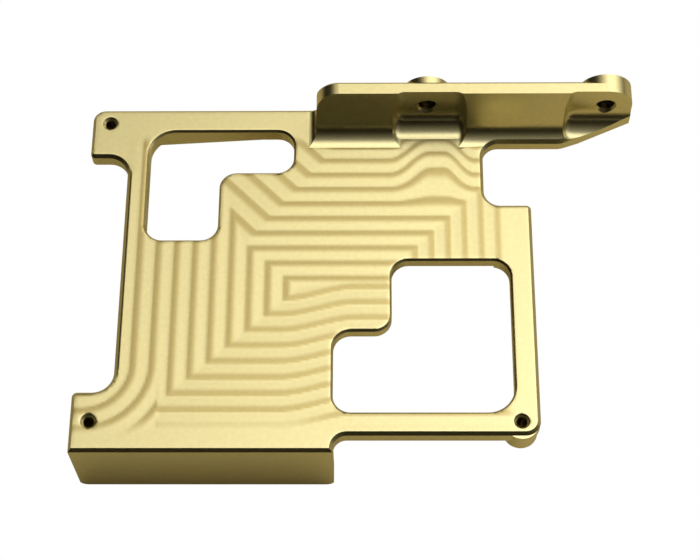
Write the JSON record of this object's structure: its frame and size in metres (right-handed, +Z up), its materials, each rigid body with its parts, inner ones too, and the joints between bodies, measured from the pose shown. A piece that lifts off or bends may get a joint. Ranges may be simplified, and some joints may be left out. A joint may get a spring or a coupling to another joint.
{
  "type": "machined mounting bracket",
  "caption": "Milled aluminium bracket: a thin plate with L-shaped windows, a flange below its front edge and an upright wall with tapped holes at the back.",
  "frame": {"origin": "on the axis of the front left tapped hole, at the plate's top face", "axes": "+X along the front edge towards the arm, +Y from the front flange to the back wall, +Z up out of the plate's top face"},
  "size_m": [0.1342, 0.0933, 0.0355],
  "materials": {
    "coated_aluminium": "satin, yellow conversion coat"
  },
  "bodies": {
    "root": {"machined_bracket": "coated_aluminium"}
  },
  "joints": []
}
